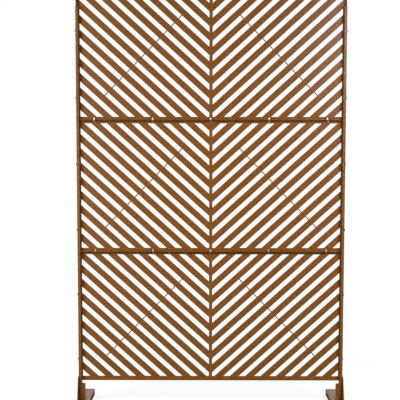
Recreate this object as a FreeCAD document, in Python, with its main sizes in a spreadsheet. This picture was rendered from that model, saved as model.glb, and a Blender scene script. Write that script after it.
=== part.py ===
import FreeCAD, Part
import os
import re
import Sketcher

# Garden privacy screen: three slatted sheet-steel panels stacked between two
# channel posts, on two feet.  Millimetres.  X runs across the screen, Y runs
# front to back with the front at -Y, Z is up.  The origin is on the ground,
# in the middle of the width and of the panels' depth.  Each piece is drawn
# from the plane of the panels' back faces, half a panel's depth behind it.

PANELS = ("bottom_panel", "middle_panel", "top_panel")
SEAMS = ("lower_seam", "upper_seam")

SIZES = {
    # panels: folded sheet-steel pans, open towards the front
    "panel_width": 1216,
    "panel_height": 600,
    "panel_depth": 20,
    "panel_sheet": 1.5,
    "ground_gap": 125,
    "rim_width": 15,
    "centre_bar": 15,
    "corner_relief": 1,
    # slots, slanting up and outwards from the centre bar, and their ties
    "slot_angle": 42.2,
    "slot_pitch": 48.08,
    "slot_width": 20.3,
    "slot_offset": 9.1,
    "tie_width": 5,
    "tie_count": 11,
    "tie_row_angle": 45.7,
    "tie_row_out": 139,
    "tie_row_slot": 5,
    # posts: channels that take the panels' side edges
    "post_leg": 13,
    "post_sheet": 2,
    "post_play": 0.25,
    "post_top_gap": 92,
    "post_bottom_gap": 20,
    "lower_post_length": 870,
    "post_joint_gap": 0.5,
    # feet: folded base, upright tube and side bracket
    "base_width": 51,
    "base_length": 340,
    "base_height": 28,
    "base_sheet": 2,
    "tube_width": 28,
    "tube_wall": 2,
    "bracket_sheet": 2.5,
    "bracket_rise": 18,
    "bracket_top": 40,
    "bracket_bottom": 104,
    "ground_hole": 9,
    "ground_hole_spacing": 280,
    # M6 bolts, washers and nuts
    "bolt_size": 6,
    "bolt_length": 12,
    "foot_bolt_length": 16,
    "foot_bolt_out": 16,
    "head_flats": 10,
    "head_height": 4,
    "nut_height": 5,
    "washer_size": 12,
    "washer_height": 1.6,
    "thread_play": 0.1,
    "washer_play": 0.4,
    "hole_play": 0.6,
    "seam_bolt_spacing": 265,
    "seam_bolt_count": 5,
    "side_bolt_low": 100,
    "side_bolt_high": 400,
}

# Lengths that follow from the ones above.
DERIVED = {
    "panel_half": "panel_width / 2",
    "window_half": "panel_half - rim_width",
    "window_top": "panel_height - rim_width",
    "slot_rise": "slot_width / cos(slot_angle * 1deg)",
    "slot_step": "slot_pitch / cos(slot_angle * 1deg)",
    "slot_start": "slot_offset / cos(slot_angle * 1deg)",
    "slots_below": "ceil(window_half * tan(slot_angle * 1deg) / slot_step) + 1",
    "slots_above": "ceil(panel_height / slot_step)",
    "tie_row_up": "slot_start + tie_row_slot * slot_step + tie_row_out * tan(slot_angle * 1deg)",
    "tie_step": "slot_pitch / cos((90 - slot_angle - tie_row_angle) * 1deg)",
    "tie_length": "slot_pitch - slot_width / 2",
    "tie_half_x": "tie_width / 2 * cos(slot_angle * 1deg)",
    "tie_half_y": "tie_width / 2 * sin(slot_angle * 1deg)",
    "tie_reach_x": "tie_length / 2 * sin(slot_angle * 1deg)",
    "tie_reach_y": "tie_length / 2 * cos(slot_angle * 1deg)",
    "post_inner": "panel_half + post_play",
    "post_outer": "post_inner + post_sheet",
    "post_front": "panel_depth + post_play + post_sheet",
    "post_back": "post_play + post_sheet",
    "post_depth": "post_front + post_back",
    "panel_count": "%d" % len(PANELS),
    "screen_top": "ground_gap + panel_count * panel_height",
    "post_bottom": "ground_gap - post_bottom_gap",
    "post_joint": "post_bottom + lower_post_length",
    "bolt_line": "panel_depth / 2",
    "hole_size": "bolt_size + hole_play",
    "bracket_outer": "post_outer + bracket_sheet",
    "tube_inner": "post_outer - tube_width",
    "tube_bottom": "base_height + bracket_sheet",
    "foot_bolt_line": "(post_outer + tube_inner) / 2",
    "foot_middle": "(post_back - post_front) / 2",
    "foot_bolt_spacing": "post_depth + 2 * foot_bolt_out",
}

os.makedirs("parts", exist_ok=True)
doc = FreeCAD.newDocument("GardenPrivacyScreen")
sheet = doc.addObject("Spreadsheet::Sheet", "Sizes")


def formula(text):
    """Point every size named in the text at its cell of the sheet."""
    def cell_name(match):
        word = match.group()
        return "Sizes." + word if word in SIZES or word in DERIVED else word
    return re.sub(r"[a-z][a-z_]*", cell_name, text)


def fill_sheet():
    """Write each size into its own named cell."""
    for row, (name, value) in enumerate(SIZES.items(), start=1):
        sheet.set("A%d" % row, name)
        sheet.set("B%d" % row, str(value))
        sheet.setAlias("B%d" % row, name)
    for row, (name, text) in enumerate(DERIVED.items(), start=len(SIZES) + 1):
        sheet.set("A%d" % row, name)
        sheet.setAlias("B%d" % row, name)
        sheet.set("B%d" % row, "=" + text)
    doc.recompute()


def measure(text):
    """Return the number that a formula gives with the sheet's present sizes."""
    return float(sheet.evalExpression(formula(text)))


# ---------------------------------------------------------------- helpers

def new_body(name, height="0"):
    """Start a piece whose own origin is on the back plane, at the given height."""
    body = doc.addObject("PartDesign::Body", name)
    body.Label = name
    body.setExpression("Placement.Base.y", formula("panel_depth / 2"))
    body.setExpression("Placement.Base.z", formula(height))
    return body


def plane_of(body, role):
    """Return the body's own origin plane, such as XZ_Plane."""
    return [part for part in body.Origin.OriginFeatures if part.Role == role][0]


def new_sketch(body, name, role, offset="0"):
    """Lay an empty sketch on an origin plane, moved along its normal."""
    sketch = body.newObject("Sketcher::SketchObject", body.Name + "_" + name)
    sketch.AttachmentSupport = [(plane_of(body, role), "")]
    sketch.MapMode = "FlatFace"
    sketch.setExpression("AttachmentOffset.Base.z", formula(offset))
    return sketch


def place_point(sketch, edge, end, across, up):
    """Tie one point of the sketch to its formulas, measured from the origin."""
    for kind, text in (("DistanceX", across), ("DistanceY", up)):
        index = sketch.addConstraint(Sketcher.Constraint(kind, edge, end, measure(text)))
        sketch.setExpression("Constraints[%d]" % index, formula(text))


def draw_polygon(sketch, corners):
    """Draw a closed outline through corners given as pairs of formulas."""
    points = [FreeCAD.Vector(measure(across), measure(up), 0) for across, up in corners]
    first = sketch.GeometryCount
    for number, point in enumerate(points):
        following = points[(number + 1) % len(points)]
        sketch.addGeometry(Part.LineSegment(point, following), False)
    for number, (across, up) in enumerate(corners):
        edge = first + number
        before = first + (number - 1) % len(corners)
        sketch.addConstraint(Sketcher.Constraint("Coincident", before, 2, edge, 1))
        place_point(sketch, edge, 1, across, up)


def draw_rectangle(sketch, left, bottom, right, top):
    """Draw a rectangle between two corners."""
    draw_polygon(sketch, [(left, bottom), (right, bottom), (right, top), (left, top)])


def draw_circle(sketch, across, up, diameter):
    """Draw a circle round a centre given by formulas."""
    centre = FreeCAD.Vector(measure(across), measure(up), 0)
    radius = measure(diameter) / 2
    edge = sketch.addGeometry(Part.Circle(centre, FreeCAD.Vector(0, 0, 1), radius), False)
    place_point(sketch, edge, 3, across, up)
    index = sketch.addConstraint(Sketcher.Constraint("Diameter", edge, 2 * radius))
    sketch.setExpression("Constraints[%d]" % index, formula(diameter))


def draw_hexagon(sketch, across, up, flats):
    """Draw a hexagon of the given width across flats."""
    half = "(%s) / 2" % flats
    corner = "(%s) / sqrt(3)" % flats
    shoulder = "(%s) / (2 * sqrt(3))" % flats
    offsets = [("0", corner), ("-" + half, shoulder), ("-" + half, "-" + shoulder),
               ("0", "-" + corner), (half, "-" + shoulder), (half, shoulder)]
    draw_polygon(sketch, [("%s + %s" % (across, dx), "%s + %s" % (up, dy)) for dx, dy in offsets])


def pad(body, sketch, length, backwards=False):
    """Add material along the sketch's normal, or against it."""
    feature = body.newObject("PartDesign::Pad", sketch.Name + "_pad")
    feature.Profile = sketch
    feature.Reversed = backwards
    feature.setExpression("Length", formula(length))
    doc.recompute()
    return feature


def cut(body, sketch, length, backwards=False):
    """Cut against the sketch's normal, or along it, and check that it cuts."""
    before = body.Shape.Volume
    feature = body.newObject("PartDesign::Pocket", sketch.Name + "_cut")
    feature.Profile = sketch
    feature.Reversed = backwards
    feature.setExpression("Length", formula(length))
    doc.recompute()
    if body.Shape.Volume >= before:
        raise RuntimeError("the cut removes nothing: " + feature.Name)
    return feature


def linear_pattern(body, name, direction, count, spacing):
    """Make a row along a sketch axis, as a step of a larger pattern."""
    pattern = body.newObject("PartDesign::LinearPattern", body.Name + "_" + name)
    pattern.Direction = direction
    pattern.Mode = "Spacing"
    pattern.setExpression("Offset", formula(spacing))
    pattern.setExpression("Occurrences", formula(count))
    return pattern


def mirrored(body, name, role):
    """Mirror about one of the body's origin planes, as a step of a larger pattern."""
    mirror = body.newObject("PartDesign::Mirrored", body.Name + "_" + name)
    mirror.MirrorPlane = (plane_of(body, role), [""])
    return mirror


def repeat(body, name, features, steps):
    """Apply several patterns to some features, one after another."""
    multi = body.newObject("PartDesign::MultiTransform", body.Name + "_" + name)
    multi.Originals = features
    multi.Transformations = steps
    body.Tip = multi
    doc.recompute()


# ---------------------------------------------------------------- panels

def cut_slots(body):
    """Cut the slanting slots of one half, step them up the panel and mirror them."""
    sketch = new_sketch(body, "slot", "XZ_Plane")
    slope = "tan(slot_angle * 1deg)"
    low = "slot_start - slot_rise / 2 - slots_below * slot_step"
    inner = "centre_bar / 2"
    draw_polygon(sketch, [
        (inner, "%s + %s * %s" % (low, inner, slope)),
        ("window_half", "%s + window_half * %s" % (low, slope)),
        ("window_half", "%s + window_half * %s + slot_rise" % (low, slope)),
        (inner, "%s + %s * %s + slot_rise" % (low, inner, slope)),
    ])
    slot = body.newObject("PartDesign::Pocket", body.Name + "_slot_cut")
    slot.Profile = sketch
    slot.Reversed = True
    slot.setExpression("Length", formula("panel_sheet"))
    steps = linear_pattern(body, "slot_steps", (sketch, ["V_Axis"]),
                           "slots_below + slots_above + 1", "slot_step")
    repeat(body, "slots", [slot], [steps, mirrored(body, "slot_mirror", "YZ_Plane")])


def add_ties(body):
    """Bridge each slot with a thin tie, in one slanting row on each half."""
    sketch = new_sketch(body, "tie", "XZ_Plane")
    draw_polygon(sketch, [
        ("tie_row_out - tie_half_x - tie_reach_x", "tie_row_up - tie_half_y + tie_reach_y"),
        ("tie_row_out + tie_half_x - tie_reach_x", "tie_row_up + tie_half_y + tie_reach_y"),
        ("tie_row_out + tie_half_x + tie_reach_x", "tie_row_up + tie_half_y - tie_reach_y"),
        ("tie_row_out - tie_half_x + tie_reach_x", "tie_row_up - tie_half_y - tie_reach_y"),
    ])
    next_out = "tie_row_out + tie_step * cos(tie_row_angle * 1deg)"
    next_up = "tie_row_up - tie_step * sin(tie_row_angle * 1deg)"
    start = FreeCAD.Vector(measure("tie_row_out"), measure("tie_row_up"), 0)
    finish = FreeCAD.Vector(measure(next_out), measure(next_up), 0)
    row = sketch.addGeometry(Part.LineSegment(start, finish), True)
    place_point(sketch, row, 1, "tie_row_out", "tie_row_up")
    place_point(sketch, row, 2, next_out, next_up)
    tie = pad(body, sketch, "panel_sheet")
    steps = linear_pattern(body, "tie_steps", (sketch, ["Axis0"]), "tie_count", "tie_step")
    repeat(body, "ties", [tie], [steps, mirrored(body, "tie_mirror", "YZ_Plane")])


def add_rims(body):
    """Frame the slats with the flat rims."""
    sketch = new_sketch(body, "rims", "XZ_Plane")
    draw_rectangle(sketch, "-panel_half", "0", "panel_half", "panel_height")
    draw_rectangle(sketch, "-window_half", "rim_width", "window_half", "window_top")
    pad(body, sketch, "panel_sheet")


def add_flanges(body):
    """Fold the four edges of the pan towards the front."""
    sketch = new_sketch(body, "flanges", "XZ_Plane")
    draw_rectangle(sketch, "-panel_half", "0", "panel_half", "panel_sheet")
    draw_rectangle(sketch, "-panel_half", "panel_height - panel_sheet", "panel_half", "panel_height")
    low = "panel_sheet + corner_relief"
    high = "panel_height - panel_sheet - corner_relief"
    draw_rectangle(sketch, "-panel_half", low, "-panel_half + panel_sheet", high)
    draw_rectangle(sketch, "panel_half - panel_sheet", low, "panel_half", high)
    pad(body, sketch, "panel_depth")


def drill_seam_holes(body, name, height, upwards):
    """Drill the row of seam holes through one horizontal flange."""
    sketch = new_sketch(body, name, "XY_Plane", height)
    count = int(measure("seam_bolt_count"))
    for number in range(count):
        across = "%d * seam_bolt_spacing / 2" % (2 * number - count + 1)
        draw_circle(sketch, across, "-bolt_line", "hole_size")
    cut(body, sketch, "panel_sheet", upwards)


def drill_side_holes(body):
    """Drill both side flanges where the posts' bolts pass."""
    sketch = new_sketch(body, "side_holes", "YZ_Plane", "panel_half")
    for height in ("side_bolt_low", "side_bolt_high"):
        draw_circle(sketch, "-bolt_line", height, "hole_size")
    cut(body, sketch, "panel_width")


def make_pan():
    """Build the slatted pan that all the panels start from, with its bottom at zero."""
    body = new_body("pan")
    sketch = new_sketch(body, "infill", "XZ_Plane")
    draw_rectangle(sketch, "-window_half", "rim_width", "window_half", "window_top")
    pad(body, sketch, "panel_sheet")
    cut_slots(body)
    add_ties(body)
    add_rims(body)
    add_flanges(body)
    drill_side_holes(body)
    return body


def make_panel(name, number, pan):
    """Copy the pan for one place in the stack and drill the seams it shares."""
    body = new_body(name, "ground_gap + %d * panel_height" % number)
    body.BaseFeature = pan
    doc.recompute()
    if number > 0:
        drill_seam_holes(body, "bottom_holes", "0", True)
    if number < len(PANELS) - 1:
        drill_seam_holes(body, "top_holes", "panel_height", False)
    return body


# ---------------------------------------------------------------- posts

def make_post(name, side, bottom, top, bolt_heights):
    """Build one length of channel post, with its legs towards the screen."""
    body = new_body(name, bottom)
    sketch = new_sketch(body, "section", "XY_Plane")
    outer = "%d * post_outer" % side
    inner = "%d * post_inner" % side
    leg_end = "%d * (post_outer - post_leg)" % side
    draw_polygon(sketch, [
        (outer, "-post_front"), (leg_end, "-post_front"), (leg_end, "-panel_depth - post_play"),
        (inner, "-panel_depth - post_play"), (inner, "post_play"), (leg_end, "post_play"),
        (leg_end, "post_back"), (outer, "post_back"),
    ])
    pad(body, sketch, "%s - (%s)" % (top, bottom))
    holes = new_sketch(body, "bolt_holes", "YZ_Plane", outer)
    for height in bolt_heights:
        draw_circle(holes, "-bolt_line", "%s - (%s)" % (height, bottom), "hole_size")
    cut(body, holes, "post_sheet", side < 0)
    return body


# ---------------------------------------------------------------- feet

def make_tube(name, side):
    """Build the open-topped rectangular tube that carries the post."""
    body = new_body(name, "tube_bottom")
    sketch = new_sketch(body, "section", "XY_Plane")
    outer = "%d * post_outer" % side
    inner = "%d * tube_inner" % side
    draw_rectangle(sketch, inner, "-post_front", outer, "post_back")
    draw_rectangle(sketch, "%d * (tube_inner + tube_wall)" % side, "tube_wall - post_front",
                   "%d * (post_outer - tube_wall)" % side, "post_back - tube_wall")
    pad(body, sketch, "post_bottom - tube_bottom")
    return body


def make_bracket(name, side):
    """Build the bent bracket: an upright trapezium and a foot plate."""
    body = new_body(name, "base_height")
    upright = new_sketch(body, "upright", "YZ_Plane", "%d * post_outer" % side)
    rise = "ground_gap + bracket_rise - base_height"
    draw_polygon(upright, [
        ("foot_middle - bracket_bottom / 2", "0"), ("foot_middle + bracket_bottom / 2", "0"),
        ("foot_middle + bracket_bottom / 2", "bracket_sheet"),
        ("foot_middle + bracket_top / 2", rise), ("foot_middle - bracket_top / 2", rise),
        ("foot_middle - bracket_bottom / 2", "bracket_sheet"),
    ])
    pad(body, upright, "bracket_sheet", side < 0)
    plate = new_sketch(body, "plate", "XY_Plane")
    draw_rectangle(plate, "%d * tube_inner" % side, "foot_middle - bracket_bottom / 2",
                   "%d * bracket_outer" % side, "foot_middle + bracket_bottom / 2")
    pad(body, plate, "bracket_sheet")
    holes = new_sketch(body, "holes", "XY_Plane")
    for end in (-1, 1):
        draw_circle(holes, "%d * foot_bolt_line" % side,
                    "foot_middle + %d * foot_bolt_spacing / 2" % end, "hole_size")
    cut(body, holes, "bracket_sheet", True)
    return body


def make_base(name, side):
    """Build the folded base: a tray lying face down, with bolt holes in its top."""
    body = new_body(name)
    outline = new_sketch(body, "outline", "XY_Plane")
    near = "bracket_outer - base_width"
    draw_rectangle(outline, "%d * (%s)" % (side, near), "foot_middle - base_length / 2",
                   "%d * bracket_outer" % side, "foot_middle + base_length / 2")
    pad(body, outline, "base_height")
    hollow = new_sketch(body, "hollow", "XY_Plane")
    draw_rectangle(hollow, "%d * (%s + base_sheet)" % (side, near),
                   "foot_middle - base_length / 2 + base_sheet",
                   "%d * (bracket_outer - base_sheet)" % side,
                   "foot_middle + base_length / 2 - base_sheet")
    cut(body, hollow, "base_height - base_sheet", True)
    holes = new_sketch(body, "holes", "XY_Plane", "base_height")
    across = "%d * foot_bolt_line" % side
    for end in (-1, 1):
        draw_circle(holes, across, "foot_middle + %d * foot_bolt_spacing / 2" % end, "hole_size")
        draw_circle(holes, across, "foot_middle + %d * ground_hole_spacing / 2" % end, "ground_hole")
    cut(body, holes, "base_sheet")
    return body


# ---------------------------------------------------------------- fasteners

def bolt_group(name, role, centre, seat, length, towards_plus, rows):
    """Build a group of hexagon-head bolts.

    The seat is where the head bears, measured along the plane's normal, and
    the shank runs from there towards plus or minus along that normal."""
    body = new_body(name)
    head = new_sketch(body, "head", role, seat)
    draw_hexagon(head, centre[0], centre[1], "head_flats")
    head_pad = pad(body, head, "head_height", towards_plus)
    shank = new_sketch(body, "shank", role, seat)
    draw_circle(shank, centre[0], centre[1], "bolt_size")
    shank_pad = pad(body, shank, length, not towards_plus)
    return copy_along(body, [head_pad, shank_pad], head, rows)


def ring_group(name, role, centre, seat, outline, bore, height, towards_plus, rows):
    """Build a group of washers or nuts that start at the seat."""
    body = new_body(name)
    sketch = new_sketch(body, "ring", role, seat)
    if outline == "washer":
        draw_circle(sketch, centre[0], centre[1], "washer_size")
    else:
        draw_hexagon(sketch, centre[0], centre[1], "head_flats")
    draw_circle(sketch, centre[0], centre[1], bore)
    ring_pad = pad(body, sketch, height, not towards_plus)
    return copy_along(body, [ring_pad], sketch, rows)


def copy_along(body, features, sketch, rows):
    """Step a fastener along its rows; each row is an axis, a count and a spacing."""
    steps = [linear_pattern(body, "row_%d" % number, (sketch, [axis]), count, spacing)
             for number, (axis, count, spacing) in enumerate(rows)]
    repeat(body, "group", features, steps)
    return body


def seam_fasteners(name, number):
    """Build the bolts, washers and nuts of one seam, with the heads below it."""
    seam = "ground_gap + %d * panel_height" % number
    centre = ("-seam_bolt_spacing * (seam_bolt_count - 1) / 2", "-bolt_line")
    row = [("H_Axis", "seam_bolt_count", "seam_bolt_spacing")]
    over = "%s + panel_sheet" % seam
    return [
        bolt_group(name + "_bolts", "XY_Plane", centre, seam + " - panel_sheet",
                   "bolt_length", True, row),
        ring_group(name + "_washers", "XY_Plane", centre, over, "washer",
                   "bolt_size + washer_play", "washer_height", True, row),
        ring_group(name + "_nuts", "XY_Plane", centre, over + " + washer_height", "nut",
                   "bolt_size + thread_play", "nut_height", True, row),
    ]


def side_fasteners(name, side):
    """Build the bolts, washers and nuts between one post and the three panels."""
    centre = ("-bolt_line", "ground_gap + side_bolt_low")
    rows = [("V_Axis", "2", "side_bolt_high - side_bolt_low"),
            ("V_Axis", "panel_count", "panel_height")]
    inside = "panel_half - panel_sheet"
    outwards = side > 0
    return [
        bolt_group(name + "_bolts", "YZ_Plane", centre, "%d * post_outer" % side,
                   "bolt_length", not outwards, rows),
        ring_group(name + "_washers", "YZ_Plane", centre, "%d * (%s)" % (side, inside), "washer",
                   "bolt_size + washer_play", "washer_height", not outwards, rows),
        ring_group(name + "_nuts", "YZ_Plane", centre, "%d * (%s - washer_height)" % (side, inside),
                   "nut", "bolt_size + thread_play", "nut_height", not outwards, rows),
    ]


def foot_fasteners(name, side):
    """Build the bolts, washers and nuts that hold one bracket to its base."""
    centre = ("%d * foot_bolt_line" % side, "foot_middle - foot_bolt_spacing / 2")
    row = [("V_Axis", "2", "foot_bolt_spacing")]
    under = "base_height - base_sheet"
    return [
        bolt_group(name + "_bolts", "XY_Plane", centre, "tube_bottom", "foot_bolt_length", False, row),
        ring_group(name + "_washers", "XY_Plane", centre, under, "washer",
                   "bolt_size + washer_play", "washer_height", False, row),
        ring_group(name + "_nuts", "XY_Plane", centre, under + " - washer_height", "nut",
                   "bolt_size + thread_play", "nut_height", False, row),
    ]


# ---------------------------------------------------------------- assembly

def post_bolt_heights():
    """Return where the side bolts stand, split at the joint between the post's lengths."""
    heights = ["ground_gap + %d * panel_height + %s" % (number, level)
               for number in range(len(PANELS)) for level in ("side_bolt_low", "side_bolt_high")]
    joint = measure("post_joint")
    lower = [height for height in heights if measure(height) < joint]
    return lower, heights[len(lower):]


def build_screen():
    """Build every piece of the screen, from the panels outwards."""
    pan = make_pan()
    pieces = [make_panel(name, number, pan) for number, name in enumerate(PANELS)]
    for number, name in enumerate(SEAMS, start=1):
        pieces += seam_fasteners(name, number)
    lower_bolts, upper_bolts = post_bolt_heights()
    for word, side in (("left", -1), ("right", 1)):
        pieces.append(make_post(word + "_lower_post", side, "post_bottom", "post_joint", lower_bolts))
        pieces.append(make_post(word + "_upper_post", side, "post_joint + post_joint_gap",
                                "screen_top - post_top_gap", upper_bolts))
        pieces.append(make_tube(word + "_foot_tube", side))
        pieces.append(make_bracket(word + "_foot_bracket", side))
        pieces.append(make_base(word + "_foot_base", side))
        pieces += side_fasteners(word + "_side", side)
        pieces += foot_fasteners(word + "_foot", side)
    return pieces


def check_document(pieces):
    """Stop if an object failed or a piece has no sound shape."""
    doc.recompute()
    for thing in doc.Objects:
        if "Invalid" in thing.State or "Error" in thing.State:
            raise RuntimeError("failed object: " + thing.Name)
    for piece in pieces:
        if piece.Shape.isNull() or not piece.Shape.isValid() or not piece.Shape.Solids:
            raise RuntimeError("unsound shape: " + piece.Label)


def write_pieces(pieces):
    """Write each piece to its own file and print its measure."""
    for piece in pieces:
        piece.Shape.exportStep(os.path.join("parts", piece.Label + ".step"))
        box = piece.Shape.BoundBox
        print("%-20s %2d solids %9.0f mm3  X %.1f..%.1f  Y %.1f..%.1f  Z %.1f..%.1f" % (
            piece.Label, len(piece.Shape.Solids), piece.Shape.Volume,
            box.XMin, box.XMax, box.YMin, box.YMax, box.ZMin, box.ZMax))


fill_sheet()
screen = build_screen()
check_document(screen)
write_pieces(screen)
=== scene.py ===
"""Looks of a garden privacy screen: three slatted steel pans between two channel posts.

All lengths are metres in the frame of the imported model: X across the screen,
-Y towards the front, Z up, with the origin on the ground under its middle.
"""

import logging
import math
from dataclasses import dataclass, field
from enum import Enum

import bmesh
import bpy
from bmesh.types import BMEdge, BMFace, BMesh, BMVert
from mathutils import Matrix, Vector


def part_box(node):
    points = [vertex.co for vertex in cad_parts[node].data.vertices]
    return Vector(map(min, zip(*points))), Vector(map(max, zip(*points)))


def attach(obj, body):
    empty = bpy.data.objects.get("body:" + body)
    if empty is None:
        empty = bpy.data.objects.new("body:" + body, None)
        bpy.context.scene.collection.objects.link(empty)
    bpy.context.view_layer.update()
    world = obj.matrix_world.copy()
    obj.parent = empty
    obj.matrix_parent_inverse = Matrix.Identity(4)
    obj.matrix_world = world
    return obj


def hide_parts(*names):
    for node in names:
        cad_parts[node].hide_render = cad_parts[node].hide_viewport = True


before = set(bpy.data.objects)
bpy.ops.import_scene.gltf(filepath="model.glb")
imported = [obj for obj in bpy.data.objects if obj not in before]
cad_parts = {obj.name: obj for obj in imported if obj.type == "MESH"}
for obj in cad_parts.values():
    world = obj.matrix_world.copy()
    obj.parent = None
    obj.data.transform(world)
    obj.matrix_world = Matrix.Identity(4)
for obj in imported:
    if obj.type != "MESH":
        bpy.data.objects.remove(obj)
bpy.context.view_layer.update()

LOG = logging.getLogger("privacy_screen")

Colour = tuple[float, float, float]
Place = tuple[float, float, float]
Span = tuple[float, float]
Line = list[BMEdge | BMVert]

MM = 0.001
TOUCH = 0.001 * MM
RIGHT_ANGLE = math.radians(90)
X_AXIS = Vector((1, 0, 0))
Y_AXIS = Vector((0, 1, 0))
Z_AXIS = Vector((0, 0, 1))
WHITE = (1.0, 1.0, 1.0, 1.0)

FOLD_STEPS = 4  # flats round each fold
HOLE_COLLAR = 1.6  # half the width of the square round a hole, in hole radii
HOLE_CUTS = 5  # cuts in each side of that square
EDGE_STEPS = 2  # flats across each rounded edge
EDGE_ANGLE = math.radians(40)  # the least turn that counts as an edge
FLAT_WEIGHT = 80  # how much the large flats lead the shading
HEXAGON = 6


class Side(Enum):
    """The two sides of the screen, as seen from the front."""

    LEFT = -1
    RIGHT = 1

    @property
    def word(self) -> str:
        """Name the side as the nodes do."""
        return self.name.lower()


# ------------------------------------------------------------------ node trees


class NodePlan:
    """A short way to write a node tree."""

    def __init__(self, tree: bpy.types.NodeTree) -> None:
        """Start on an empty tree.

        Args:
            tree: the material's or the world's tree, whose nodes are replaced.
        """
        self.tree = tree
        tree.nodes.clear()

    def add(self, kind: str, inputs: dict | None = None, **settings: object) -> bpy.types.Node:
        """Add a node.

        Args:
            kind: the node's type without its ShaderNode prefix.
            inputs: values or output sockets for the named or numbered inputs.
            settings: attributes of the node itself.

        Returns:
            The new node.
        """
        node = self.tree.nodes.new("ShaderNode" + kind)
        for name, value in settings.items():
            setattr(node, name, value)
        for name, value in (inputs or {}).items():
            if isinstance(value, bpy.types.NodeSocket):
                self.tree.links.new(value, node.inputs[name])
            else:
                node.inputs[name].default_value = value
        return node

    def blend(self, factor: float, first: bpy.types.NodeSocket,
              second: bpy.types.NodeSocket) -> bpy.types.NodeSocket:
        """Mix two colours.

        Args:
            factor: the second colour's share.
            first: the first colour.
            second: the second colour.

        Returns:
            The mixed colour.
        """
        node = self.add("Mix", data_type="RGBA")
        sockets = {socket.identifier: socket for socket in node.inputs}
        sockets["Factor_Float"].default_value = factor
        self.tree.links.new(first, sockets["A_Color"])
        self.tree.links.new(second, sockets["B_Color"])
        return next(socket for socket in node.outputs if socket.identifier == "Result_Color")

    def ramp(self, factor: bpy.types.NodeSocket, stops: tuple[float, ...],
             colours: tuple[Colour, ...]) -> bpy.types.NodeSocket:
        """Add a colour ramp.

        Args:
            factor: the socket that drives the ramp.
            stops: where the colours stand, from low to high.
            colours: the linear colours there.

        Returns:
            The ramp's colour socket.
        """
        node = self.add("ValToRGB", {"Fac": factor})
        elements = node.color_ramp.elements
        while len(elements) < len(stops):
            elements.new(0.5)
        for element, position, colour in zip(elements, stops, colours):
            element.position = position
            element.color = (*colour, 1.0)
        return node.outputs["Color"]

    def spread(self, value: bpy.types.NodeSocket, low: float | bpy.types.NodeSocket,
               high: float | bpy.types.NodeSocket, start: float = 0.0,
               stop: float = 1.0) -> bpy.types.NodeSocket:
        """Spread a value over a range.

        Args:
            value: the value.
            low: what it gives at the start.
            high: what it gives at the stop.
            start: where the spread starts.
            stop: where it stops.

        Returns:
            The socket of the spread value.
        """
        node = self.add("MapRange", {"Value": value, "From Min": start, "From Max": stop,
                                     "To Min": low, "To Max": high})
        return node.outputs[0]


def start_material(name: str) -> tuple[bpy.types.Material, NodePlan]:
    """Start a material on an empty tree.

    Args:
        name: the material's name.

    Returns:
        The material and the plan of its tree.
    """
    material = bpy.data.materials.new(name)
    material.use_nodes = True
    return material, NodePlan(material.node_tree)


# ------------------------------------------------------------------ finishes


@dataclass(frozen=True)
class PowderCoat:
    """Brown textured powder coat, as it lies on every pressed or folded piece."""

    name: str = "brown_powder_coat"
    deep: Colour = (0.045, 0.013, 0.000)
    body: Colour = (0.218, 0.079, 0.001)
    pale: Colour = (0.500, 0.195, 0.040)
    olive: Colour = (0.160, 0.112, 0.000)
    rust: Colour = (0.330, 0.048, 0.022)
    stops: tuple[float, ...] = (0.42, 0.50, 0.58)
    tint_share: float = 0.45
    roughness: Span = (0.28, 0.38)
    speckle_per_metre: float = 230.0
    speckle_detail: float = 2.0
    speckle_contrast: float = 0.7
    tint_per_metre: float = 240.0
    tint_detail: float = 1.0
    grain_per_metre: float = 900.0
    grain_detail: float = 2.0
    grain_height: float = 0.10 * MM
    grain_strength: float = 0.30

    def material(self) -> bpy.types.Material:
        """Make the finish.

        Returns:
            A material that reads the piece's own coordinates.
        """
        material, plan = start_material(self.name)
        place = plan.add("TexCoord").outputs["Object"]
        speckle = plan.add("TexNoise", {"Vector": place, "Scale": self.speckle_per_metre,
                                        "Detail": self.speckle_detail,
                                        "Roughness": self.speckle_contrast}).outputs["Fac"]
        tint = plan.add("TexNoise", {"Vector": place, "Scale": self.tint_per_metre,
                                     "Detail": self.tint_detail}).outputs["Fac"]
        grain = plan.add("TexNoise", {"Vector": place, "Scale": self.grain_per_metre,
                                      "Detail": self.grain_detail}).outputs["Fac"]
        shade = plan.ramp(speckle, self.stops, (self.deep, self.body, self.pale))
        hue = plan.ramp(tint, self.stops, (self.olive, self.body, self.rust))
        colour = plan.blend(self.tint_share, shade, hue)
        gloss = plan.spread(speckle, *self.roughness)
        bump = plan.add("Bump", {"Height": grain, "Distance": self.grain_height,
                                 "Strength": self.grain_strength}).outputs["Normal"]
        shader = plan.add("BsdfPrincipled", {"Base Color": colour, "Roughness": gloss, "Normal": bump})
        plan.add("OutputMaterial", {"Surface": shader.outputs["BSDF"]})
        return material


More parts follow.
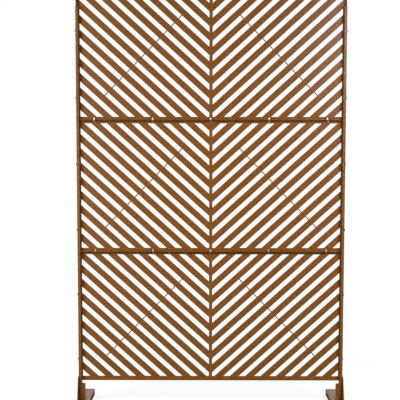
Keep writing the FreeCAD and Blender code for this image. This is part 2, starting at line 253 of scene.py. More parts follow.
@dataclass(frozen=True)
class ZincPlate:
    """Bright zinc on the bolts, washers and nuts."""

    name: str = "bright_zinc"
    dull: Colour = (0.66, 0.65, 0.61)
    bright: Colour = (0.92, 0.92, 0.90)
    stops: tuple[float, ...] = (0.35, 0.65)
    roughness: Span = (0.34, 0.52)
    marks_per_metre: float = 900.0
    mark_detail: float = 4.0
    mark_sway: float = 0.6
    mark_depth: float = 0.03 * MM
    mark_strength: float = 0.3

    def material(self) -> bpy.types.Material:
        """Make the finish.

        Returns:
            A metallic material with faint tumbling marks.
        """
        material, plan = start_material(self.name)
        place = plan.add("TexCoord").outputs["Object"]
        marks = plan.add("TexNoise", {"Vector": place, "Scale": self.marks_per_metre,
                                      "Detail": self.mark_detail,
                                      "Distortion": self.mark_sway}).outputs["Fac"]
        colour = plan.ramp(marks, self.stops, (self.dull, self.bright))
        gloss = plan.spread(marks, *self.roughness)
        bump = plan.add("Bump", {"Height": marks, "Distance": self.mark_depth,
                                 "Strength": self.mark_strength}).outputs["Normal"]
        shader = plan.add("BsdfPrincipled", {"Base Color": colour, "Roughness": gloss,
                                             "Metallic": 1.0, "Normal": bump})
        plan.add("OutputMaterial", {"Surface": shader.outputs["BSDF"]})
        return material


@dataclass(frozen=True)
class Finishes:
    """The materials that the pieces share, made once."""

    coat: bpy.types.Material = field(default_factory=lambda: PowderCoat().material())
    zinc: bpy.types.Material = field(default_factory=lambda: ZincPlate().material())


# ------------------------------------------------------------------ sheet work


def split(mesh: BMesh, faces: list[BMFace], point: Vector, normal: Vector, trim: bool = False) -> None:
    """Cut faces along a plane.

    Args:
        mesh: the mesh that holds them.
        faces: the faces to cut; the others only share the new corners.
        point: a point on the plane.
        normal: the plane's normal.
        trim: take away what lies on the normal's side.
    """
    edges = dict.fromkeys(edge for face in faces for edge in face.edges)
    corners = dict.fromkeys(corner for face in faces for corner in face.verts)
    bmesh.ops.bisect_plane(mesh, geom=[*faces, *edges, *corners], dist=TOUCH,
                           plane_co=point, plane_no=normal, clear_outer=trim)


def face_at(mesh: BMesh, point: Vector, normal: Vector) -> BMFace | None:
    """Find the flat face that surrounds a point.

    Args:
        mesh: the mesh to search.
        point: a point in the face's plane.
        normal: the face's normal, either way round.

    Returns:
        The face, or None where there is none.
    """
    for face in mesh.faces:
        flat = all(abs((corner.co - point).dot(normal)) < TOUCH for corner in face.verts)
        if flat and bmesh.geometry.intersect_face_point(face, point):
            return face
    return None


def rectangle(mesh: BMesh, low: Span, high: Span) -> None:
    """Lay a flat rectangle in the XY plane.

    Args:
        mesh: the mesh to add to.
        low: its lower corner.
        high: its upper corner.
    """
    size = Matrix.Diagonal((high[0] - low[0], high[1] - low[1], 1, 1))
    middle = Matrix.Translation(((low[0] + high[0]) / 2, (low[1] + high[1]) / 2, 0))
    bmesh.ops.create_grid(mesh, x_segments=1, y_segments=1, size=0.5, matrix=middle @ size)


def run(mesh: BMesh, line: Line, step: Vector) -> Line:
    """Draw a point or a line of edges straight out.

    Args:
        mesh: the mesh that holds it.
        line: the point, or the edges with their points.
        step: how far and where to.

    Returns:
        The point, or the edges and points, at the far end.
    """
    edges = [item for item in line if isinstance(item, BMEdge)]
    if edges:
        drawn = bmesh.ops.extrude_edge_only(mesh, edges=edges)["geom"]
        end = [item for item in drawn if not isinstance(item, BMFace)]
        moved = [item for item in end if isinstance(item, BMVert)]
    else:
        end = moved = bmesh.ops.extrude_vert_indiv(mesh, verts=line)["verts"]
    bmesh.ops.translate(mesh, verts=moved, vec=step)
    return end


def bend(mesh: BMesh, line: Line, centre: Vector, axis: Vector, angle: float) -> Line:
    """Draw a point or a line of edges round a fold.

    Args:
        mesh: the mesh that holds it.
        line: the point, or the edges with their points.
        centre: a point on the fold's axis.
        axis: the fold's axis.
        angle: how far to turn, in radians.

    Returns:
        The point, or the edges and points, at the far end.
    """
    turned = bmesh.ops.spin(mesh, geom=line, cent=centre, axis=axis, angle=angle,
                            steps=FOLD_STEPS, use_merge=False, use_duplicate=False)
    return turned["geom_last"]


def drill(mesh: BMesh, centre: Vector, normal: Vector, radius: float) -> None:
    """Open a round hole in a flat face.

    Args:
        mesh: the mesh to drill.
        centre: the hole's middle, in the face's plane.
        normal: the face's normal, along X, Y or Z.
        radius: the hole's radius.
    """
    across = Y_AXIS if normal == X_AXIS else X_AXIS
    reach = radius * HOLE_COLLAR
    for direction in (across, -across, normal.cross(across), -normal.cross(across)):
        split(mesh, [face_at(mesh, centre, normal)], centre + direction * reach, direction)
    collar = face_at(mesh, centre, normal)
    bmesh.ops.subdivide_edges(mesh, edges=list(collar.edges), cuts=HOLE_CUTS)
    outline = list(collar.edges)
    bmesh.ops.delete(mesh, geom=[collar], context="FACES_ONLY")
    turn = Z_AXIS.rotation_difference(normal).to_matrix().to_4x4()
    ring = bmesh.ops.create_circle(mesh, segments=len(outline), radius=radius,
                                   matrix=Matrix.Translation(centre) @ turn)
    edges = dict.fromkeys(edge for corner in ring["verts"] for edge in corner.link_edges)
    bmesh.ops.bridge_loops(mesh, edges=[*outline, *edges])


def face_outwards(mesh: BMesh, point: Vector, outwards: Vector) -> None:
    """Turn an open skin so that the face nearest a point looks the given way.

    Args:
        mesh: the skin.
        point: a place on it.
        outwards: the way that the face there must look.
    """
    bmesh.ops.remove_doubles(mesh, verts=mesh.verts, dist=TOUCH)
    bmesh.ops.recalc_face_normals(mesh, faces=mesh.faces)
    nearest = min(mesh.faces, key=lambda face: (face.calc_center_bounds() - point).length)
    if nearest.normal.dot(outwards) < 0:
        bmesh.ops.reverse_faces(mesh, faces=mesh.faces)


def make_piece(mesh: BMesh, name: str, node: str, material: bpy.types.Material) -> bpy.types.Object:
    """Turn a finished mesh into a piece that stands for a node.

    Args:
        mesh: the mesh, which is freed.
        name: the piece's name.
        node: the node that it replaces.
        material: its finish.

    Returns:
        The piece, riding on the root body.
    """
    for face in mesh.faces:
        face.smooth = True
    data = bpy.data.meshes.new(name)
    mesh.to_mesh(data)
    mesh.free()
    data.materials.append(material)
    piece = bpy.data.objects.new(name, data)
    bpy.context.scene.collection.objects.link(piece)
    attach(piece, "root")
    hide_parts(node)
    LOG.info("%s: %d faces, for %s", name, len(data.polygons), node)
    return piece


def shade_flats(piece: bpy.types.Object) -> None:
    """Keep the large flats of a piece evenly shaded."""
    shading = piece.modifiers.new("shading", "WEIGHTED_NORMAL")
    shading.weight = FLAT_WEIGHT


def soften(piece: bpy.types.Object, edge: float, sheet: float) -> None:
    """Give a skin its thickness and round its edges.

    Args:
        piece: the piece.
        edge: the width of its rounded edges.
        sheet: the thickness to add inwards.
    """
    wall = piece.modifiers.new("sheet", "SOLIDIFY")
    wall.thickness = sheet
    wall.offset = -1.0
    wall.use_even_offset = True
    rounding = piece.modifiers.new("edges", "BEVEL")
    rounding.width = edge
    rounding.segments = EDGE_STEPS
    rounding.limit_method = "ANGLE"
    rounding.angle_limit = EDGE_ANGLE
    rounding.use_clamp_overlap = False
    shade_flats(piece)


@dataclass
class FoldedPan:
    """A pressed pan: a flat plate whose four edges are folded down.

    It is drawn lying face up, with its plate at height zero and its lower
    left corner's outline at (-width / 2, 0)."""

    width: float
    height: float
    depth: float
    fold: float
    relief: float = 1.0 * MM

    @property
    def half(self) -> float:
        """Half of the pan's width."""
        return self.width / 2

    def plate(self, mesh: BMesh) -> None:
        """Lay the flat of the pan.

        Args:
            mesh: the mesh to add to.
        """
        edge = self.half - self.fold
        rectangle(mesh, (-edge, self.fold), (edge, self.height - self.fold))
        for level in (self.fold + self.relief, self.height - self.fold - self.relief):
            split(mesh, list(mesh.faces), Vector((0, level, 0)), Y_AXIS)

    def border(self, mesh: BMesh, axis: int, value: float) -> Line:
        """Find the plate's border on one side, clear of the corner reliefs.

        Args:
            mesh: the pan's mesh.
            axis: 0 for a border at the given x, 1 for one at the given y.
            value: where it lies.

        Returns:
            The edges with their points.
        """
        low, high = self.fold + self.relief, self.height - self.fold - self.relief
        edges = []
        for edge in mesh.edges:
            ends = [corner.co for corner in edge.verts]
            on_line = all(abs(end[axis] - value) < TOUCH and abs(end.z) < TOUCH for end in ends)
            clear = axis == 1 or all(low - TOUCH < end.y < high + TOUCH for end in ends)
            if on_line and clear:
                edges.append(edge)
        return [*edges, *dict.fromkeys(corner for edge in edges for corner in edge.verts)]

    def fold_edges(self, mesh: BMesh) -> None:
        """Fold the four flanges down.

        Args:
            mesh: the mesh that holds the plate.
        """
        edge = self.half - self.fold
        top = self.height - self.fold
        folds = [
            (1, self.fold, X_AXIS, 1), (1, top, X_AXIS, -1),
            (0, -edge, Y_AXIS, -1), (0, edge, Y_AXIS, 1),
        ]
        for axis, value, hinge, turn in folds:
            line = self.border(mesh, axis, value)
            centre = Vector((0, 0, -self.fold))
            centre[axis] = value
            line = bend(mesh, line, centre, hinge, turn * RIGHT_ANGLE)
            run(mesh, line, Z_AXIS * (self.fold - self.depth))


# ------------------------------------------------------------------ panels


@dataclass
class SlattedPanel:
    """One pan of the stack, with its mirrored slanting slots and their ties."""

    node: str
    finishes: Finishes
    seam_below: bool
    seam_above: bool
    sheet: float = 1.5 * MM
    fold: float = 2.5 * MM
    rim: float = 15.0 * MM
    centre_bar: float = 15.0 * MM
    slot_angle: float = math.radians(42.2)
    slot_pitch: float = 48.08 * MM
    slot_width: float = 20.3 * MM
    slot_offset: float = 9.1 * MM
    tie_width: float = 5.0 * MM
    tie_count: int = 11
    tie_row_angle: float = math.radians(45.7)
    tie_row_out: float = 139.0 * MM
    tie_row_slot: int = 5
    hole: float = 3.3 * MM
    seam_bolts: tuple[float, ...] = (-530.0 * MM, -265.0 * MM, 0.0, 265.0 * MM, 530.0 * MM)
    side_bolts: Span = (100.0 * MM, 400.0 * MM)
    edge: float = 0.3 * MM

    def __post_init__(self) -> None:
        """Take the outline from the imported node."""
        low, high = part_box(self.node)
        self.low, self.high = low, high
        size = high - low
        self.pan = FoldedPan(size.x, size.z, size.y, self.fold)

    def in_window(self, face: BMFace, side: Side) -> bool:
        """Tell whether a face lies in one half's slotted window.

        Args:
            face: a face of the plate.
            side: which half.

        Returns:
            True inside the rims and clear of the centre bar.
        """
        middle = face.calc_center_median()
        out = middle.x * side.value
        across = self.centre_bar / 2 < out < self.pan.half - self.rim
        return across and self.rim < middle.y < self.pan.height - self.rim

    def in_slot(self, face: BMFace) -> bool:
        """Tell whether a face of a window is a slot and not a slat.

        Args:
            face: a face of either window.

        Returns:
            True where the sheet is cut away.
        """
        middle = face.calc_center_median()
        rise = middle.y * math.cos(self.slot_angle) - abs(middle.x) * math.sin(self.slot_angle)
        turns = (rise - self.slot_offset) / self.slot_pitch
        return abs(turns - round(turns)) * self.slot_pitch < self.slot_width / 2

    def rule_rims(self, mesh: BMesh) -> None:
        """Mark the rims and the centre bar on the plate.

        Args:
            mesh: the mesh that holds the plate.
        """
        window = self.pan.half - self.rim
        for across in (-window, -self.centre_bar / 2, self.centre_bar / 2, window):
            split(mesh, list(mesh.faces), Vector((across, 0, 0)), X_AXIS)
        for level in (self.rim, self.pan.height - self.rim):
            split(mesh, list(mesh.faces), Vector((0, level, 0)), Y_AXIS)

    def rule_slots(self, mesh: BMesh, side: Side) -> None:
        """Mark the edges of one half's slots.

        Args:
            mesh: the mesh that holds the plate.
            side: which half.
        """
        slant = Vector((-side.value * math.sin(self.slot_angle), math.cos(self.slot_angle), 0))
        lowest = -self.pan.half * math.sin(self.slot_angle)
        highest = self.pan.height * math.cos(self.slot_angle)
        first = math.floor(lowest / self.slot_pitch)
        last = math.ceil(highest / self.slot_pitch)
        for number in range(first, last + 1):
            for edge in (-self.slot_width / 2, self.slot_width / 2):
                faces = [face for face in mesh.faces if self.in_window(face, side)]
                split(mesh, faces, slant * (self.slot_offset + number * self.slot_pitch + edge), slant)

    def tie_places(self, side: Side) -> list[Vector]:
        """Work out where one half's ties cross its slots.

        Args:
            side: which half.

        Returns:
            The ties' middles, from the top of the row down.
        """
        slope = math.tan(self.slot_angle)
        start = (self.slot_offset + self.tie_row_slot * self.slot_pitch) / math.cos(self.slot_angle)
        step = self.slot_pitch / math.cos(RIGHT_ANGLE - self.slot_angle - self.tie_row_angle)
        places = []
        for number in range(self.tie_count):
            out = self.tie_row_out + number * step * math.cos(self.tie_row_angle)
            level = start + self.tie_row_out * slope - number * step * math.sin(self.tie_row_angle)
            places.append(Vector((side.value * out, level, 0)))
        return places

    def open_slots(self, mesh: BMesh) -> None:
        """Cut the slots out of both halves and leave the ties across them.

        Args:
            mesh: the mesh that holds the plate.
        """
        ties = []
        for side in Side:
            self.rule_slots(mesh, side)
            along = Vector((side.value * math.cos(self.slot_angle), math.sin(self.slot_angle), 0))
            for place in self.tie_places(side):
                for way in (along, -along):
                    split(mesh, [face_at(mesh, place, Z_AXIS)], place + way * self.tie_width / 2, way)
                ties.append(face_at(mesh, place, Z_AXIS))
        slots = [face for face in mesh.faces
                 if any(self.in_window(face, side) for side in Side)
                 and self.in_slot(face) and face not in ties]
        bmesh.ops.delete(mesh, geom=slots, context="FACES")

    def drill_flanges(self, mesh: BMesh) -> None:
        """Drill the holes of the seams and of the posts.

        Args:
            mesh: the folded pan.
        """
        middle = -self.pan.depth / 2
        for level, wanted in ((0.0, self.seam_below), (self.pan.height, self.seam_above)):
            for across in self.seam_bolts if wanted else ():
                drill(mesh, Vector((across, level, middle)), Y_AXIS, self.hole)
        for side in Side:
            for level in self.side_bolts:
                drill(mesh, Vector((side.value * self.pan.half, level, middle)), X_AXIS, self.hole)

    def build(self) -> bpy.types.Object:
        """Build the panel where it stands.

        Returns:
            The finished piece.
        """
        mesh = bmesh.new()
        self.pan.plate(mesh)
        self.rule_rims(mesh)
        self.open_slots(mesh)
        self.pan.fold_edges(mesh)
        self.drill_flanges(mesh)
        face_outwards(mesh, Vector((0, self.rim / 2, 0)), Z_AXIS)
        stand = Matrix(((-1, 0, 0, 0), (0, 0, 1, self.high.y), (0, 1, 0, self.low.z), (0, 0, 0, 1)))
        bmesh.ops.transform(mesh, matrix=stand, verts=mesh.verts)
        piece = make_piece(mesh, self.node + "_pressing", self.node, self.finishes.coat)
        soften(piece, self.edge, self.sheet)
        return piece


# ------------------------------------------------------------------ posts and feet


def mirror_to(mesh: BMesh, side: Side) -> None:
    """Turn a piece that was drawn for the right into one for the left.

    Args:
        mesh: the piece's mesh.
        side: the side that it is for.
    """
    if side is Side.LEFT:
        bmesh.ops.scale(mesh, vec=(-1, 1, 1), verts=mesh.verts)
        bmesh.ops.reverse_faces(mesh, faces=mesh.faces)


@dataclass
class ChannelPost:
    """One length of the folded channel that takes the panels' side edges."""

    side: Side
    part: str
    finishes: Finishes
    bolt_heights: tuple[float, ...]
    sheet: float = 2.0 * MM
    fold: float = 3.0 * MM
    hole: float = 3.3 * MM
    edge: float = 0.3 * MM

    def build(self) -> bpy.types.Object:
        """Build the post's length where it stands.

        Returns:
            The finished piece.
        """
        node = f"{self.side.word}_{self.part}_post"
        low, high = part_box(node)
        inner, outer = sorted((abs(low.x), abs(high.x)))
        mesh = bmesh.new()
        line = [mesh.verts.new((inner, low.y, low.z))]
        line = run(mesh, line, X_AXIS * (outer - inner - self.fold))
        line = bend(mesh, line, Vector((outer - self.fold, low.y + self.fold, 0)), Z_AXIS, RIGHT_ANGLE)
        line = run(mesh, line, Y_AXIS * (high.y - low.y - 2 * self.fold))
        line = bend(mesh, line, Vector((outer - self.fold, high.y - self.fold, 0)), Z_AXIS, RIGHT_ANGLE)
        run(mesh, line, X_AXIS * (inner - outer + self.fold))
        bmesh.ops.remove_doubles(mesh, verts=mesh.verts, dist=TOUCH)
        run(mesh, [*mesh.edges, *mesh.verts], Z_AXIS * (high.z - low.z))
        for height in self.bolt_heights:
            drill(mesh, Vector((outer, 0, height)), X_AXIS, self.hole)
        face_outwards(mesh, Vector((outer, 0, low.z)), X_AXIS)
        mirror_to(mesh, self.side)
        piece = make_piece(mesh, node + "_channel", node, self.finishes.coat)
        soften(piece, self.edge, self.sheet)
        return piece


@dataclass
class Foot:
    """One foot: an open tube and a bent bracket on a folded base."""

    side: Side
    finishes: Finishes
    tube_wall: float = 2.0 * MM
    tube_corner: float = 4.0 * MM
    bracket_sheet: float = 2.5 * MM
    bracket_fold: float = 4.0 * MM
    bracket_top: float = 40.0 * MM
    base_sheet: float = 2.0 * MM
    base_fold: float = 3.0 * MM
    base_relief: float = 0.6 * MM
    tube_edge: float = 0.3 * MM
    plate_edge: float = 0.4 * MM
    bolt_hole: float = 3.3 * MM
    ground_hole: float = 4.5 * MM
    bolt_line: float = 596.25 * MM
    bolt_out: float = 28.25 * MM
    ground_out: float = 140.0 * MM

    def node(self, part: str) -> str:
        """Name one of the foot's nodes.

        Args:
            part: tube, bracket or base.

        Returns:
            The node's name.
        """
        return f"{self.side.word}_foot_{part}"

    def reach(self, part: str) -> tuple[Vector, Vector]:
        """Give a node's corners as if the foot stood on the right.

        Args:
            part: tube, bracket or base.

        Returns:
            The lowest and the highest corner.
        """
        low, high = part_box(self.node(part))
        if self.side is Side.LEFT:
            low.x, high.x = -high.x, -low.x
        return low, high

    def finish(self, mesh: BMesh, part: str, word: str, edge: float, sheet: float) -> bpy.types.Object:
        """Hand over a piece that was drawn for the right.

        Args:
            mesh: the piece's mesh.
            part: tube, bracket or base.
            word: what the piece is made as.
            edge: the width of its rounded edges.
            sheet: its thickness.

        Returns:
            The finished piece.
        """
        mirror_to(mesh, self.side)
        name = f"{self.node(part)}_{word}"
        piece = make_piece(mesh, name, self.node(part), self.finishes.coat)
        soften(piece, edge, sheet)
        return piece

    def build_tube(self) -> bpy.types.Object:
        """Build the open-topped tube that the post stands on.

        Returns:
            The finished piece.
        """
        low, high = self.reach("tube")
        corner = self.tube_corner
        mesh = bmesh.new()
        line = [mesh.verts.new((low.x + corner, low.y, low.z))]
        across = high.x - low.x - 2 * corner
        through = high.y - low.y - 2 * corner
        sides = [
            (X_AXIS * across, (high.x - corner, low.y + corner)),
            (Y_AXIS * through, (high.x - corner, high.y - corner)),
            (-X_AXIS * across, (low.x + corner, high.y - corner)),
            (-Y_AXIS * through, (low.x + corner, low.y + corner)),
        ]
        for step, centre in sides:
            line = run(mesh, line, step)
            line = bend(mesh, line, Vector((*centre, 0)), Z_AXIS, RIGHT_ANGLE)
        bmesh.ops.remove_doubles(mesh, verts=mesh.verts, dist=TOUCH)
        run(mesh, [*mesh.edges, *mesh.verts], Z_AXIS * (high.z - low.z))
        face_outwards(mesh, Vector((high.x, 0, low.z)), X_AXIS)
        return self.finish(mesh, "tube", "section", self.tube_edge, self.tube_wall)

    def build_bracket(self) -> bpy.types.Object:
        """Build the bracket from one bent plate, with a tapered upright.

        Returns:
            The finished piece.
        """
        low, high = self.reach("bracket")
        fold = self.bracket_fold
        mesh = bmesh.new()
        line = [mesh.verts.new((low.x, low.y, low.z))]
        line = run(mesh, line, X_AXIS * (high.x - low.x - fold))
        line = bend(mesh, line, Vector((high.x - fold, low.y, low.z + fold)), -Y_AXIS, RIGHT_ANGLE)
        run(mesh, line, Z_AXIS * (high.z - low.z - fold))
        bmesh.ops.remove_doubles(mesh, verts=mesh.verts, dist=TOUCH)
        run(mesh, [*mesh.edges, *mesh.verts], Y_AXIS * (high.y - low.y))
        middle = (low.y + high.y) / 2
        heel = low.z + self.bracket_sheet
        for way in (-1, 1):
            toe = Vector((0, middle + way * (high.y - low.y) / 2, heel))
            tip = Vector((0, middle + way * self.bracket_top / 2, high.z))
            outwards = (tip - toe).cross(X_AXIS) * way
            split(mesh, list(mesh.faces), toe, outwards, trim=True)
            hole = Vector((self.bolt_line, middle + way * self.bolt_out, low.z))
            drill(mesh, hole, Z_AXIS, self.bolt_hole)
        face_outwards(mesh, Vector((high.x, middle, high.z)), X_AXIS)
        return self.finish(mesh, "bracket", "plate", self.plate_edge, self.bracket_sheet)

    def build_base(self) -> bpy.types.Object:
        """Build the base: a pan lying face down, with its bolt holes.

        Returns:
            The finished piece.
        """
        low, high = self.reach("base")
        size = high - low
        pan = FoldedPan(size.x, size.y, size.z, self.base_fold, self.base_relief)
        mesh = bmesh.new()
        pan.plate(mesh)
        pan.fold_edges(mesh)
        place = Vector(((low.x + high.x) / 2, low.y, high.z))
        bmesh.ops.translate(mesh, vec=place, verts=mesh.verts)
        middle = (low.y + high.y) / 2
        for way in (-1, 1):
            for out, radius in ((self.bolt_out, self.bolt_hole), (self.ground_out, self.ground_hole)):
                drill(mesh, Vector((self.bolt_line, middle + way * out, high.z)), Z_AXIS, radius)
        face_outwards(mesh, Vector((place.x, middle, high.z)), Z_AXIS)
        return self.finish(mesh, "base", "pressing", self.plate_edge, self.base_sheet)

    def build(self) -> list[bpy.types.Object]:
        """Build the whole foot.

        Returns:
            Its pieces.
        """
        return [self.build_tube(), self.build_bracket(), self.build_base()]


# ------------------------------------------------------------------ fasteners


@dataclass(frozen=True)
class Fastening:
    """Where one set of bolts goes through, and which way."""

    name: str
    places: tuple[Vector, ...]
    outwards: Vector
    length: float
    grip: float


@dataclass
class Fasteners:
    """The bolts, washers and nuts of one fastening, drawn along Z and then set in place."""

    fastening: Fastening
    finishes: Finishes
    thread: float = 3.0 * MM
    core: float = 2.45 * MM
    pitch: float = 1.0 * MM
    flats: float = 5.0 * MM
    head_height: float = 4.0 * MM
    nut_height: float = 5.0 * MM
    washer_radius: float = 6.0 * MM
    washer_bore: float = 3.2 * MM
    washer_height: float = 1.6 * MM
    head_chamfer: float = 0.5 * MM
    nut_chamfer: float = 0.4 * MM
    washer_chamfer: float = 0.2 * MM
    turn_steps: int = 20
    round_steps: int = 24

    @property
    def corner(self) -> float:
        """The radius at a hexagon's corners."""
        return self.flats / math.cos(math.pi / HEXAGON)

    def chamfer_ends(self, mesh: BMesh, verts: list[BMVert], levels: tuple[float, ...],
                     width: float) -> None:
        """Break the outer edges at the given heights.

        Args:
            mesh: the mesh that holds them.
            verts: the points of the shape.
            levels: the heights whose edges are broken.
            width: the chamfer's width.
        """
        edges = [edge for edge in dict.fromkeys(edge for corner in verts for edge in corner.link_edges)
                 if any(all(abs(end.co.z - level) < TOUCH for end in edge.verts) for level in levels)
                 and not all(face.normal.z ** 2 > 0.5 for face in edge.link_faces)]
        bmesh.ops.bevel(mesh, geom=edges, offset=width, offset_type="OFFSET", affect="EDGES",
                        segments=EDGE_STEPS, profile=0.5, material=-1)

    def draw_head(self, mesh: BMesh) -> None:
        """Draw the hexagon head, seated at zero.

        Args:
            mesh: the mesh to add to.
        """
        turn = Matrix.Rotation(math.pi / HEXAGON, 4, "Z")
        seat = Matrix.Translation((0, 0, self.head_height / 2)) @ turn
        head = bmesh.ops.create_cone(mesh, cap_ends=True, cap_tris=False, segments=HEXAGON,
                                     radius1=self.corner, radius2=self.corner,
                                     depth=self.head_height, matrix=seat)
        mesh.normal_update()
        self.chamfer_ends(mesh, head["verts"], (self.head_height,), self.head_chamfer)

    def draw_shank(self, mesh: BMesh) -> None:
        """Draw the threaded shank below the head.

        Args:
            mesh: the mesh to add to.
        """
        length = self.fastening.length
        turns = math.ceil(length / self.pitch) + 2
        start = self.pitch
        profile = [mesh.verts.new((self.core, 0, start)),
                   mesh.verts.new((self.thread, 0, start - self.pitch / 2)),
                   mesh.verts.new((self.core, 0, start - self.pitch))]
        edges = [mesh.edges.new(profile[:2]), mesh.edges.new(profile[1:])]
        before = set(mesh.faces)
        bmesh.ops.spin(mesh, geom=[*edges, *profile], cent=(0, 0, 0), axis=Z_AXIS, use_merge=False,
                       dvec=(0, 0, -self.pitch / self.turn_steps), angle=2 * math.pi * turns,
                       steps=self.turn_steps * turns, use_duplicate=False)
        faces = [face for face in mesh.faces if face not in before]
        corners = list(dict.fromkeys(corner for face in faces for corner in face.verts))
        bmesh.ops.remove_doubles(mesh, verts=corners, dist=TOUCH)
        for level, way in ((TOUCH, 1), (-length, -1)):
            faces = [face for face in mesh.faces if face not in before]
            split(mesh, faces, Vector((0, 0, level)), Z_AXIS * way, trim=True)
            rim = [edge for edge in mesh.edges
                   if edge.is_boundary and all(abs(end.co.z - level) < 2 * TOUCH for end in edge.verts)]
            bmesh.ops.holes_fill(mesh, edges=rim, sides=0)

    def draw_ring(self, mesh: BMesh, sides: int, radius: float, bore: float, top: float, height: float,
                  chamfer: float) -> None:
        """Draw a washer or a nut that hangs from a height.

        Args:
            mesh: the mesh to add to.
            sides: how many sides its outline has.
            radius: the radius at its corners.
            bore: the bore's radius.
            top: where it starts.
            height: how thick it is.
            chamfer: the width of its broken edges.
        """
        turn = Matrix.Translation((0, 0, top)) @ Matrix.Rotation(math.pi / sides, 4, "Z")
        outline = bmesh.ops.create_circle(mesh, cap_ends=True, segments=sides, radius=radius, matrix=turn)
        face = outline["verts"][0].link_faces[0]
        cuts = self.round_steps // sides - 1
        if cuts:
            bmesh.ops.subdivide_edges(mesh, edges=list(face.edges), cuts=cuts)
        rim = list(face.edges)
        bmesh.ops.delete(mesh, geom=[face], context="FACES_ONLY")
        hole = bmesh.ops.create_circle(mesh, segments=len(rim), radius=bore, matrix=turn)
        inner = list(dict.fromkeys(edge for corner in hole["verts"] for edge in corner.link_edges))
        ring = bmesh.ops.bridge_loops(mesh, edges=[*rim, *inner])["faces"]
        drawn = bmesh.ops.extrude_face_region(mesh, geom=ring, use_keep_orig=True)["geom"]
        moved = [item for item in drawn if isinstance(item, BMVert)]
        bmesh.ops.translate(mesh, verts=moved, vec=(0, 0, -height))
        corners = list(dict.fromkeys([*moved, *(corner for face in ring for corner in face.verts)]))
        shell = list(dict.fromkeys(face for corner in corners for face in corner.link_faces))
        bmesh.ops.recalc_face_normals(mesh, faces=shell)
        mesh.normal_update()
        self.chamfer_ends(mesh, corners, (top, top - height), chamfer)

    def set_in_place(self, single: BMesh, part: str) -> bpy.types.Object:
        """Copy one drawn fastener to all of its places.

        Args:
            single: the fastener along Z, its head's seat at zero.
            part: bolts, washers or nuts.

        Returns:
            The finished group.
        """
        bmesh.ops.recalc_face_normals(single, faces=single.faces)
        pattern = bpy.data.meshes.new("pattern")
        single.to_mesh(pattern)
        single.free()
        turn = Z_AXIS.rotation_difference(self.fastening.outwards).to_matrix().to_4x4()
        group = bmesh.new()
        for place in self.fastening.places:
            before = len(group.verts)
            group.from_mesh(pattern)
            group.verts.ensure_lookup_table()
            bmesh.ops.transform(group, matrix=Matrix.Translation(place) @ turn, verts=group.verts[before:])
        bpy.data.meshes.remove(pattern)
        node = f"{self.fastening.name}_{part}"
        piece = make_piece(group, node + "_set", node, self.finishes.zinc)
        shade_flats(piece)
        return piece

    def build(self) -> list[bpy.types.Object]:
        """Build the bolts, washers and nuts.

        Returns:
            The three groups.
        """
        bolt = bmesh.new()
        self.draw_head(bolt)
        self.draw_shank(bolt)
        washer = bmesh.new()
        under = -self.fastening.grip
        self.draw_ring(washer, self.round_steps, self.washer_radius, self.washer_bore, under,
                       self.washer_height, self.washer_chamfer)
        nut = bmesh.new()
        self.draw_ring(nut, HEXAGON, self.corner, self.thread, under - self.washer_height,
                       self.nut_height, self.nut_chamfer)
        return [self.set_in_place(bolt, "bolts"), self.set_in_place(washer, "washers"),
                self.set_in_place(nut, "nuts")]


# ------------------------------------------------------------------ the screen


@dataclass
class Screen:
    """The whole screen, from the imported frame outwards."""

    finishes: Finishes
    panels: tuple[str, ...] = ("bottom_panel", "middle_panel", "top_panel")
    seam_heights: Span = (725.0 * MM, 1325.0 * MM)
    lower_levels: tuple[float, ...] = (225.0 * MM, 525.0 * MM, 825.0 * MM)
    upper_levels: tuple[float, ...] = (1125.0 * MM, 1425.0 * MM, 1725.0 * MM)
    bolt_length: float = 12.0 * MM
    foot_bolt_length: float = 16.0 * MM
    panel_sheet: float = 1.5 * MM
    post_sheet: float = 2.0 * MM
    post_play: float = 0.25 * MM
    post_outer: float = 610.25 * MM
    bracket_top: float = 30.5 * MM
    bracket_sheet: float = 2.5 * MM
    base_sheet: float = 2.0 * MM

    def build_panels(self) -> None:
        """Build the three pans."""
        lowest, highest = self.panels[0], self.panels[-1]
        for node in self.panels:
            SlattedPanel(node, self.finishes, seam_below=node != lowest, seam_above=node != highest).build()

    def build_posts(self) -> None:
        """Build both posts in their two lengths."""
        for side in Side:
            ChannelPost(side, "lower", self.finishes, self.lower_levels).build()
            ChannelPost(side, "upper", self.finishes, self.upper_levels).build()

    def build_feet(self) -> None:
        """Build both feet."""
        for side in Side:
            Foot(side, self.finishes).build()

    def fastenings(self) -> list[Fastening]:
        """List every set of bolts.

        Returns:
            The fastenings, seams first.
        """
        sets = []
        for word, height in zip(("lower", "upper"), self.seam_heights):
            seat = height - self.panel_sheet
            places = tuple(Vector((across, 0, seat)) for across in SlattedPanel.seam_bolts)
            sets.append(Fastening(word + "_seam", places, -Z_AXIS, self.bolt_length, 2 * self.panel_sheet))
        side_grip = self.post_sheet + self.post_play + self.panel_sheet
        foot_grip = self.bracket_sheet + self.base_sheet
        for side in Side:
            seat = side.value * self.post_outer
            places = tuple(Vector((seat, 0, height)) for height in self.lower_levels + self.upper_levels)
            sets.append(Fastening(side.word + "_side", places, X_AXIS * side.value, self.bolt_length,
                                  side_grip))
            across = side.value * Foot.bolt_line
            places = tuple(Vector((across, way * Foot.bolt_out, self.bracket_top)) for way in (-1, 1))
            sets.append(Fastening(side.word + "_foot", places, Z_AXIS, self.foot_bolt_length, foot_grip))
        return sets

    def build(self) -> None:
        """Build every piece."""
        self.build_panels()
        self.build_posts()
        self.build_feet()
        for fastening in self.fastenings():
            Fasteners(fastening, self.finishes).build()


# ------------------------------------------------------------------ the studio


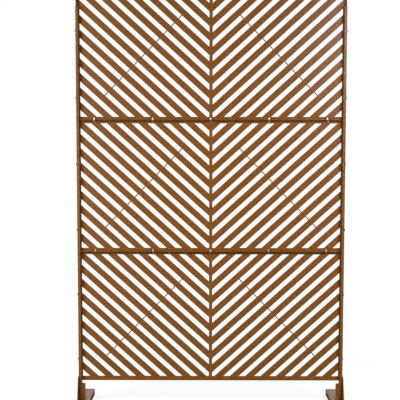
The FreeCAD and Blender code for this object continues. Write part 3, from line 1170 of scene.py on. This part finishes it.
@dataclass(frozen=True)
class Lamp:
    """A soft square lamp and what it looks at."""

    name: str
    place: Place
    watts: float
    size: float = 0.9
    aim: Place = (0, 0, 0.95)

    def hang(self) -> None:
        """Hang the lamp."""
        data = bpy.data.lights.new(self.name, "AREA")
        data.shape = "SQUARE"
        data.size = self.size
        data.energy = self.watts
        lamp = bpy.data.objects.new(self.name, data)
        bpy.context.scene.collection.objects.link(lamp)
        place = Vector(self.place)
        way = Vector(self.aim) - place
        lamp.matrix_world = Matrix.Translation(place) @ way.to_track_quat("-Z", "Y").to_matrix().to_4x4()
        lamp.visible_camera = False


@dataclass(frozen=True)
class Studio:
    """Camera, floor, soft lamps and the white surroundings."""

    eye: Place = (-0.03812, -3.490, 1.20555)
    pitch_down: float = math.radians(4.0)
    turn_left: float = math.radians(0.185)
    roll: float = math.radians(0.052)
    lens: float = 68.92
    lamps: tuple[Lamp, ...] = (
        Lamp("left_low", (-1.6, -1.9, 0.9), 9.0),
        Lamp("left_high", (-2.3, -2.2, 2.1), 66.0, aim=(0, -0.8, -1.0)),
        Lamp("right_low", (1.6, -1.9, 0.6), 2.0),
        Lamp("right_high", (1.6, -1.9, 1.9), 46.0, aim=(0, -0.8, -0.8)),
        Lamp("left_back", (-2.2, 2.2, 1.6), 34.0, size=1.6),
        Lamp("right_back", (2.2, 2.2, 1.6), 34.0, size=1.6),
    )
    sky: float = 0.01
    front_gleam: float = 0.06
    back_gleam: float = 1.0
    gleam_turn: Span = (0.1, 0.7)
    floor_half: float = 30.0
    floor_shade: Colour = (0.25, 0.25, 0.25)
    floor_glow: Span = (0.84, 1.0)
    floor_fade: Span = (1.2, 3.5)

    def place_camera(self) -> None:
        """Stand the camera where the photograph was taken from."""
        data = bpy.data.cameras.new("camera")
        data.lens = self.lens
        camera = bpy.data.objects.new("camera", data)
        bpy.context.scene.collection.objects.link(camera)
        aim = (Matrix.Rotation(self.turn_left, 4, "Z")
               @ Matrix.Rotation(RIGHT_ANGLE - self.pitch_down, 4, "X")
               @ Matrix.Rotation(self.roll, 4, "Z"))
        camera.matrix_world = Matrix.Translation(self.eye) @ aim
        bpy.context.scene.camera = camera

    def light(self) -> None:
        """Hang the lamps and set the surroundings.

        They are white behind the screen and dim in front of it for gloss, and
        white all round for the camera."""
        for lamp in self.lamps:
            lamp.hang()
        world = bpy.data.worlds.new("studio")
        bpy.context.scene.world = world
        world.use_nodes = True
        plan = NodePlan(world.node_tree)
        path = plan.add("LightPath").outputs
        way = plan.add("SeparateXYZ", {0: plan.add("TexCoord").outputs["Generated"]}).outputs["Y"]
        gleam = plan.spread(way, self.front_gleam, self.back_gleam, *self.gleam_turn)
        direct = plan.add("Math", {0: path["Is Glossy Ray"], 1: path["Diffuse Depth"]},
                          operation="SUBTRACT").outputs[0]
        shiny = plan.spread(direct, self.sky, gleam)
        level = plan.spread(path["Is Camera Ray"], shiny, 1.0)
        glow = plan.add("Background", {"Color": WHITE, "Strength": level})
        plan.add("OutputWorld", {"Surface": glow.outputs[0]})

    def lay_floor(self) -> None:
        """Lay a pale floor that keeps the screen's shadow and fades to white."""
        mesh = bmesh.new()
        bmesh.ops.create_grid(mesh, x_segments=1, y_segments=1, size=self.floor_half)
        data = bpy.data.meshes.new("floor")
        mesh.to_mesh(data)
        mesh.free()
        floor = bpy.data.objects.new("floor", data)
        bpy.context.scene.collection.objects.link(floor)
        material, plan = start_material("pale_floor")
        path = plan.add("LightPath").outputs
        place = plan.add("TexCoord").outputs["Object"]
        away = plan.add("VectorMath", {0: place}, operation="LENGTH").outputs["Value"]
        far = plan.spread(away, *self.floor_glow, *self.floor_fade)
        strength = plan.add("Math", {0: far, 1: path["Is Camera Ray"]}, operation="MULTIPLY").outputs[0]
        matte = plan.add("BsdfDiffuse", {"Color": (*self.floor_shade, 1.0)})
        glow = plan.add("Emission", {"Color": WHITE, "Strength": strength})
        both = plan.add("AddShader", {0: matte.outputs[0], 1: glow.outputs[0]})
        plan.add("OutputMaterial", {"Surface": both.outputs[0]})
        data.materials.append(material)


def main() -> None:
    """Build the screen, dress it and light it."""
    logging.basicConfig(level=logging.INFO, format="%(message)s")
    bpy.context.scene.view_settings.view_transform = "Standard"
    studio = Studio()
    studio.place_camera()
    Screen(Finishes()).build()
    studio.light()
    studio.lay_floor()


if __name__ == "__main__":
    main()
